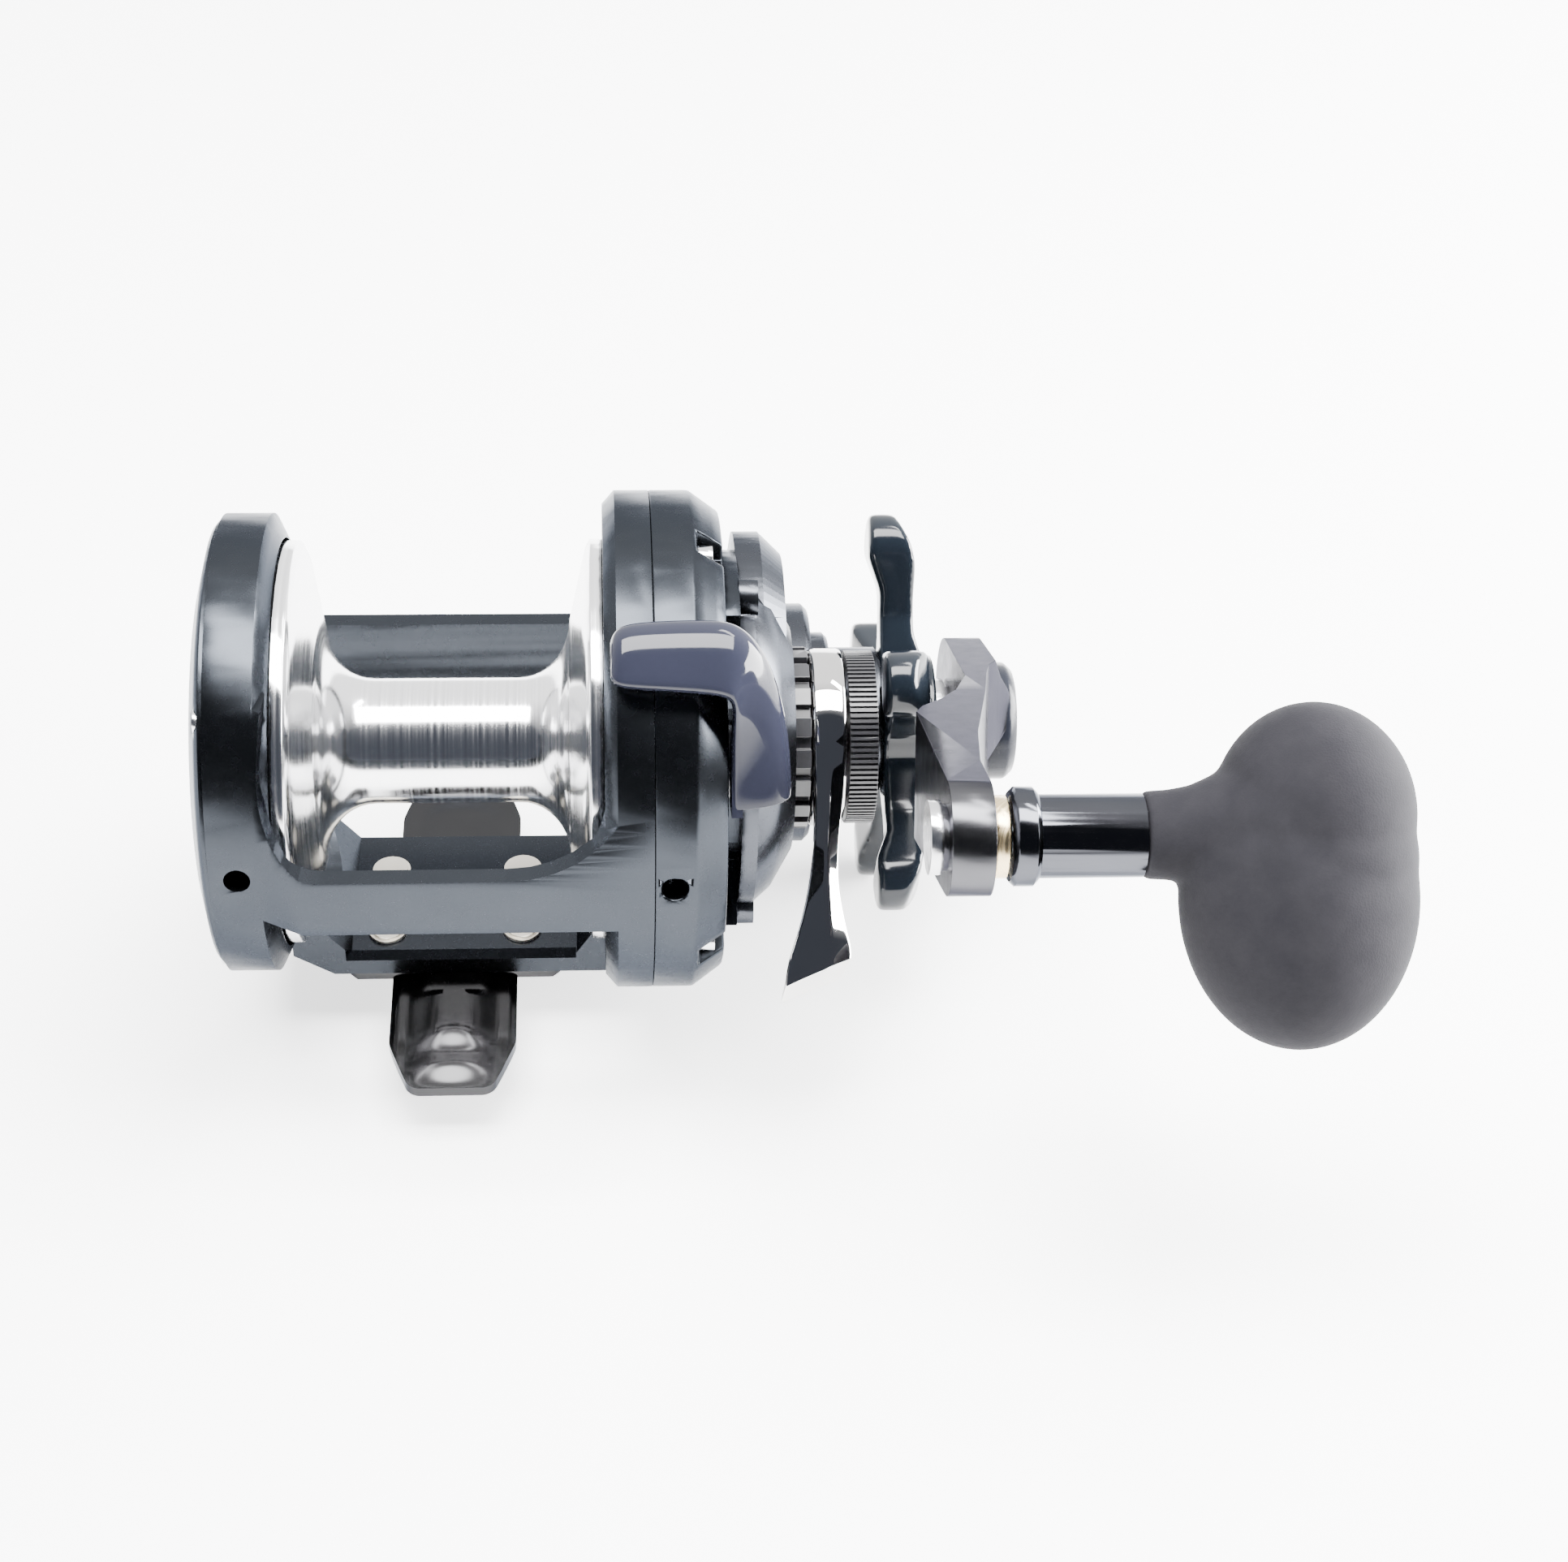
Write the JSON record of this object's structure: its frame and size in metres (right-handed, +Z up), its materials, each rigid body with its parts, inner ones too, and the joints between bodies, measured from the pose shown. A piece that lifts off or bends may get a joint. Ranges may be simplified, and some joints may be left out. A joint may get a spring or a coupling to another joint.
{
  "type": "trolling reel",
  "caption": "Star-drag trolling reel with a one-piece frame, geared spool, thumb clutch lever, fall brake lever, offset crank with foam knob and a clamp-down rod foot.",
  "frame": {"origin": "middle of the flat underside of the foot", "axes": "+X along the spool axis to the handle side, +Y ahead of the angler, +Z up from the rod"},
  "size_m": [0.1538, 0.1156, 0.0804],
  "materials": {
    "frame_metal": "satin gunmetal anodise on machined aluminium",
    "housing_metal": "brushed grey anodise on machined aluminium",
    "spool_metal": "polished aluminium with fine turning marks",
    "steel": "bright stainless steel",
    "foot_steel": "polished stainless steel",
    "rivet_metal": "satin stainless steel",
    "brass": "machined brass",
    "bush": "acetal bushing",
    "carbon": "woven carbon drag washer",
    "black_metal": "black anodised aluminium",
    "gloss_black": "gloss black moulded lever",
    "star_black": "blue-black gloss anodised aluminium",
    "dark_chrome": "dark silver gloss anodised aluminium",
    "cap_plastic": "dark moulded plastic",
    "grip_foam": "fine-celled grip foam",
    "chrome": "mirror chrome"
  },
  "bodies": {
    "reel_frame": {"frame": "frame_metal", "left_side_plate": "frame_metal", "left_plate_screws": "steel", "left_bearing": "steel", "right_side_plate": "frame_metal", "side_plate_screws": "steel", "right_bearing": "steel", "gear_plate": "frame_metal", "gear_housing": "housing_metal", "housing_screws": "steel", "shaft_bush": "bush", "one_way_clutch": "steel", "drive_bearing": "steel", "tension_tube": "black_metal", "end_bush": "bush", "click_ring": "black_metal", "yoke_posts": "steel", "foot": "foot_steel", "foot_rivets": "rivet_metal"},
    "spool": {"spool": "spool_metal", "spool_shaft": "steel", "shaft_pin": "steel", "clicker_ratchet": "brass"},
    "clicker": {"clicker_button": "black_metal", "clicker_pawl": "steel"},
    "pinion": {"pinion_gear": "brass"},
    "yoke": {"clutch_yoke": "steel", "yoke_springs": "steel"},
    "thumb_lever": {"clutch_cam": "steel", "clutch_lever": "gloss_black"},
    "drive": {"drive_shaft": "steel", "main_gear": "brass", "metal_drag_washers": "steel", "carbon_drag_washers": "carbon", "pressure_plate": "steel", "clutch_sleeve": "steel", "spring_washers": "steel", "handle_spacers": "steel", "handle_arm": "dark_chrome", "handle_nut": "steel", "nut_cap": "cap_plastic", "cap_screw": "steel", "knob_spindle": "steel", "spindle_washer": "brass", "spindle_screw": "steel"},
    "star": {"star_drag": "star_black", "star_collar": "star_black"},
    "knob": {"knob_sleeve": "dark_chrome", "knob_bearings": "steel", "knob_grip": "grip_foam"},
    "fall_brake": {"fall_lever": "chrome"},
    "spool_tension": {"tension_knob": "black_metal", "tension_pad": "bush"}
  },
  "joints": [
    {"name": "drive_turn", "type": "hinge", "parent": "reel_frame", "child": "drive", "pos_m": [0.055, 0.019, 0.023], "axis": [1, 0, 0], "continuous": true},
    {"name": "spool_turn", "type": "hinge", "parent": "reel_frame", "child": "spool", "pos_m": [0, 0, 0.036], "axis": [1, 0, 0], "continuous": true},
    {"name": "thumb_press", "type": "hinge", "parent": "reel_frame", "child": "thumb_lever", "pos_m": [0.038, 0, 0.036], "axis": [1, 0, 0], "range_deg": [0, 22], "stiffness_Nm_per_rad": 0.02, "springref_deg": -28.65},
    {"name": "yoke_slide", "type": "slide", "parent": "reel_frame", "child": "yoke", "axis": [1, 0, 0], "range_m": [0, 0.0015]},
    {"name": "pinion_slide", "type": "slide", "parent": "spool", "child": "pinion", "axis": [1, 0, 0], "range_m": [0, 0.0015]},
    {"name": "star_turn", "type": "hinge", "parent": "drive", "child": "star", "pos_m": [0.063, 0.019, 0.023], "axis": [1, 0, 0], "range_deg": [-180, 180]},
    {"name": "knob_turn", "type": "hinge", "parent": "drive", "child": "knob", "pos_m": [0.085, -0.04628, 0.05889], "axis": [1, 0, 0], "continuous": true},
    {"name": "fall_turn", "type": "hinge", "parent": "reel_frame", "child": "fall_brake", "pos_m": [0.051, 0, 0.036], "axis": [-1, 0, 0], "range_deg": [0, 35]},
    {"name": "tension_turn", "type": "hinge", "parent": "reel_frame", "child": "spool_tension", "pos_m": [0.0557, 0, 0.036], "axis": [1, 0, 0], "range_deg": [-180, 180]},
    {"name": "clicker_slide", "type": "slide", "parent": "reel_frame", "child": "clicker", "axis": [0, -0.8192, 0.5736], "range_m": [0, 0.0042]}
  ],
  "couplings": [
    {"joint": "spool_turn", "follows": "drive_turn", "ratio": -5.4},
    {"joint": "yoke_slide", "follows": "thumb_press", "m_per_rad": 0.0039065},
    {"joint": "pinion_slide", "follows": "thumb_press", "m_per_rad": 0.0039065}
  ]
}
